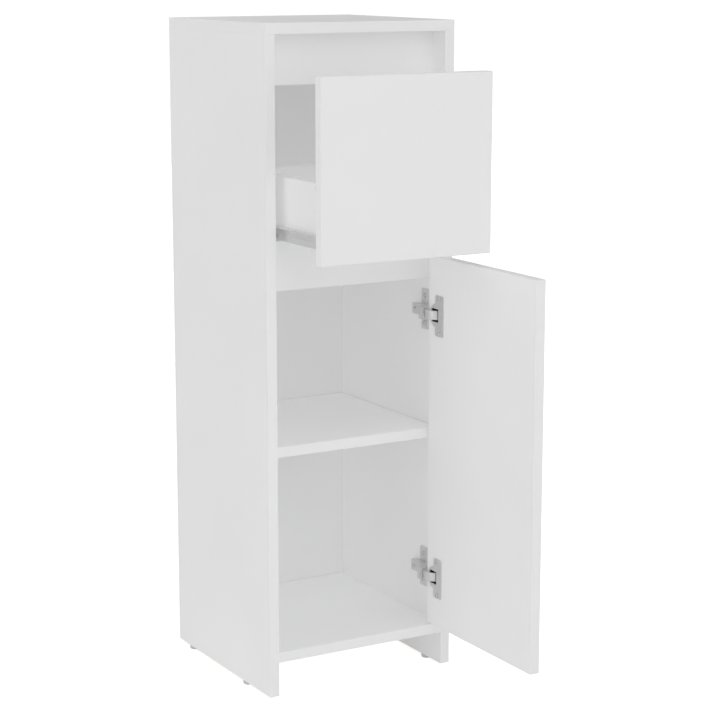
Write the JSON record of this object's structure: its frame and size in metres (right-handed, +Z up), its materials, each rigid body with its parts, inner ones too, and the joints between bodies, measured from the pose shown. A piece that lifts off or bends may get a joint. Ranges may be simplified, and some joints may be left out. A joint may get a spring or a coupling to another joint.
{
  "type": "slim bathroom cabinet",
  "caption": "Tall slim white bathroom storage cabinet with a handleless drawer over a hinged door, a shelf inside, roller slides and concealed hinges.",
  "frame": {"origin": "middle of the footprint on the floor, measured with the drawer out and the door open", "axes": "+X to the right as seen from the front, +Y to the back, +Z up"},
  "size_m": [0.3, 0.5566, 0.95],
  "materials": {
    "white_board": "white melamine-faced chipboard, satin",
    "thin_board": "thin hardboard, painted white",
    "galvanised_steel": "galvanised",
    "nickel": "nickel plated",
    "zinc_screw": "zinc plated",
    "nylon": "natural nylon",
    "glide_plastic": "moulded"
  },
  "bodies": {
    "carcass": {"left_side_panel": "white_board", "right_side_panel": "white_board", "top_panel": "white_board", "bottom_panel": "white_board", "upper_rail": "white_board", "middle_rail": "white_board", "shelf": "white_board", "back_panel": "thin_board", "shelf_pin_front_left": "zinc_screw", "shelf_pin_back_left": "zinc_screw", "shelf_pin_front_right": "zinc_screw", "shelf_pin_back_right": "zinc_screw", "glide_front_left": "glide_plastic", "glide_front_right": "glide_plastic", "glide_back_left": "glide_plastic", "glide_back_right": "glide_plastic", "slide_runner_fixed_left": "galvanised_steel", "slide_runner_fixed_right": "galvanised_steel", "hinge_arm_lower": "nickel", "hinge_plate_lower": "nickel", "hinge_plate_screw_lower_low": "zinc_screw", "hinge_plate_screw_lower_high": "zinc_screw", "hinge_arm_screw_lower_rear": "zinc_screw", "hinge_arm_screw_lower_front": "zinc_screw", "hinge_arm_upper": "nickel", "hinge_plate_upper": "nickel", "hinge_plate_screw_upper_low": "zinc_screw", "hinge_plate_screw_upper_high": "zinc_screw", "hinge_arm_screw_upper_rear": "zinc_screw", "hinge_arm_screw_upper_front": "zinc_screw"},
    "drawer": {"drawer_front": "white_board", "drawer_side_left": "white_board", "drawer_side_right": "white_board", "drawer_back": "white_board", "drawer_base": "thin_board", "slide_runner_drawer_left": "galvanised_steel", "slide_runner_drawer_right": "galvanised_steel"},
    "door": {"door_panel": "white_board", "hinge_cup_lower": "nickel", "hinge_cup_upper": "nickel", "hinge_cup_screw_lower_low": "zinc_screw", "hinge_cup_screw_lower_high": "zinc_screw", "hinge_cup_screw_upper_low": "zinc_screw", "hinge_cup_screw_upper_high": "zinc_screw"},
    "front_roller_left": {"slide_roller_front_left": "nylon"},
    "rear_roller_left": {"slide_roller_rear_left": "nylon"},
    "front_roller_right": {"slide_roller_front_right": "nylon"},
    "rear_roller_right": {"slide_roller_rear_right": "nylon"},
    "lower_outer_link": {"hinge_link_outer_lower": "nickel"},
    "lower_inner_link": {"hinge_link_inner_lower": "nickel"},
    "upper_outer_link": {"hinge_link_outer_upper": "nickel"},
    "upper_inner_link": {"hinge_link_inner_upper": "nickel"}
  },
  "joints": [
    {"name": "drawer_slide", "type": "slide", "parent": "carcass", "child": "drawer", "axis": [0, -1, 0], "range_m": [-0.123, 0.06]},
    {"name": "door_swing", "type": "hinge", "parent": "carcass", "child": "door", "pos_m": [0.1278, -0.0175, 0.345], "axis": [0, 0, 1], "range_deg": [-90, 15]},
    {"name": "front_roller_left_spin", "type": "hinge", "parent": "carcass", "child": "front_roller_left", "pos_m": [-0.1275, 0.0203, 0.6682], "axis": [1, 0, 0], "continuous": true},
    {"name": "rear_roller_left_spin", "type": "hinge", "parent": "drawer", "child": "rear_roller_left", "pos_m": [-0.1302, 0.1033, 0.6641], "axis": [1, 0, 0], "continuous": true},
    {"name": "front_roller_right_spin", "type": "hinge", "parent": "carcass", "child": "front_roller_right", "pos_m": [0.1275, 0.0203, 0.6682], "axis": [1, 0, 0], "continuous": true},
    {"name": "rear_roller_right_spin", "type": "hinge", "parent": "drawer", "child": "rear_roller_right", "pos_m": [0.1302, 0.1033, 0.6641], "axis": [1, 0, 0], "continuous": true},
    {"name": "lower_outer_link_swing", "type": "hinge", "parent": "carcass", "child": "lower_outer_link", "pos_m": [0.1278, -0.0175, 0.145], "axis": [0, 0, 1], "range_deg": [-64, 11.5]},
    {"name": "lower_inner_link_swing", "type": "hinge", "parent": "carcass", "child": "lower_inner_link", "pos_m": [0.1278, -0.0175, 0.145], "axis": [0, 0, 1], "range_deg": [-56.8, 10.3]},
    {"name": "upper_outer_link_swing", "type": "hinge", "parent": "carcass", "child": "upper_outer_link", "pos_m": [0.1278, -0.0175, 0.534], "axis": [0, 0, 1], "range_deg": [-64, 11.5]},
    {"name": "upper_inner_link_swing", "type": "hinge", "parent": "carcass", "child": "upper_inner_link", "pos_m": [0.1278, -0.0175, 0.534], "axis": [0, 0, 1], "range_deg": [-56.8, 10.3]}
  ],
  "couplings": [
    {"joint": "front_roller_left_spin", "follows": "drawer_slide", "rad_per_m": 142.86},
    {"joint": "rear_roller_left_spin", "follows": "drawer_slide", "rad_per_m": 147.06},
    {"joint": "front_roller_right_spin", "follows": "drawer_slide", "rad_per_m": 142.86},
    {"joint": "rear_roller_right_spin", "follows": "drawer_slide", "rad_per_m": 147.06},
    {"joint": "lower_outer_link_swing", "follows": "door_swing", "ratio": 0.7},
    {"joint": "lower_inner_link_swing", "follows": "door_swing", "ratio": 0.62},
    {"joint": "upper_outer_link_swing", "follows": "door_swing", "ratio": 0.7},
    {"joint": "upper_inner_link_swing", "follows": "door_swing", "ratio": 0.62}
  ]
}
